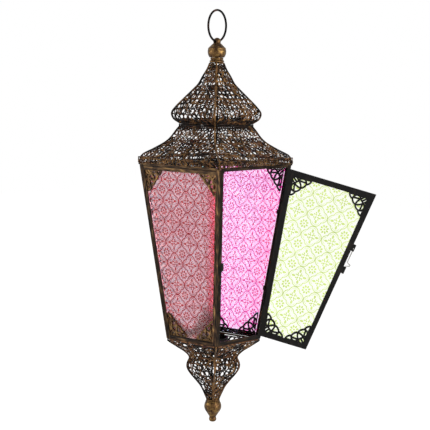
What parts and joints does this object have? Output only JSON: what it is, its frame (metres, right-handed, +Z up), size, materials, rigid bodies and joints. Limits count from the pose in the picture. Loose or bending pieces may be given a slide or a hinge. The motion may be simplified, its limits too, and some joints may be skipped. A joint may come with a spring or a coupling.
{
  "type": "hanging candle lantern",
  "caption": "Four-sided hanging lantern with patterned glass sides, one glazed door with a spring latch, a tiered openwork roof, an openwork basket, a tealight cup and a hanging ring.",
  "frame": {"origin": "inner top of the hanging ring, where a hook carries the lantern", "axes": "+Z up along the lantern's axis; -Y out of the red glass side, +X out of the side with the door"},
  "size_m": [0.2552, 0.2188, 0.5824],
  "materials": {
    "antique_sheet": "antiqued gold over dark brown, satin, worn along the edges",
    "blackened_sheet": "blackened, satin",
    "filigree": "blackened wirework with copper highlights",
    "antique_brass": "antique brass, satin, darkened in the grooves",
    "dark_wire": "dark brown, satin",
    "bright_steel": "bright drawn wire",
    "glass_red": "pressed pattern, translucent",
    "glass_pink": "pressed pattern, translucent",
    "glass_blue": "pressed pattern, translucent",
    "glass_green": "pressed pattern, translucent"
  },
  "bodies": {
    "hanging_ring": {"hanging_ring": "dark_wire"},
    "lantern_body": {"corner_post_near": "antique_sheet", "corner_post_right": "antique_sheet", "corner_post_far": "antique_sheet", "corner_post_left": "antique_sheet", "top_rails": "antique_sheet", "door_header": "antique_sheet", "bottom_rails": "antique_sheet", "glass_red": "glass_red", "glass_pink": "glass_pink", "glass_blue": "glass_blue", "pane_tabs": "blackened_sheet", "tracery_front": "blackened_sheet", "tracery_back": "blackened_sheet", "tracery_left": "blackened_sheet", "eave_hoops": "antique_sheet", "eave_lace": "filigree", "lower_roof_ribs": "antique_sheet", "lower_roof_lace": "filigree", "waist_hoop": "antique_sheet", "upper_roof_ribs": "antique_sheet", "upper_roof_lace": "filigree", "roof_collar": "antique_sheet", "top_finial": "antique_brass", "top_nut": "bright_steel", "basket_hoop": "antique_sheet", "basket_ribs": "antique_sheet", "basket_lace": "filigree", "foot_collar": "antique_sheet", "bottom_finial": "antique_brass", "bottom_nut": "bright_steel", "candle_cup": "blackened_sheet", "cup_straps": "blackened_sheet", "cup_rivet": "bright_steel", "post_hinge_leaves": "blackened_sheet", "hinge_pins": "bright_steel", "stop_tab": "blackened_sheet"},
    "door": {"door_stiles": "blackened_sheet", "door_rails": "blackened_sheet", "glass_green": "glass_green", "tracery_door": "blackened_sheet", "door_hinge_leaves": "blackened_sheet", "latch_block_upper": "blackened_sheet", "latch_block_lower": "blackened_sheet"},
    "latch": {"latch_wire": "bright_steel"}
  },
  "joints": [
    {"name": "ring_swing", "type": "hinge", "parent": "hanging_ring", "child": "lantern_body", "pos_m": [0, 0, -0.0417], "axis": [0.1219, -0.9925, 0], "range_deg": [-120, 120]},
    {"name": "door_hinge", "type": "hinge", "parent": "lantern_body", "child": "door", "pos_m": [0.04894, 0.0391, -0.45966], "axis": [0.1135, 0.1135, 0.987], "range_deg": [-128, 44]},
    {"name": "latch_flex", "type": "hinge", "parent": "door", "child": "latch", "pos_m": [0.15367, 0.11972, -0.32783], "axis": [-0.6219, 0.7829, -0.0185], "range_deg": [0, 2.2], "stiffness_Nm_per_rad": 0.4}
  ]
}
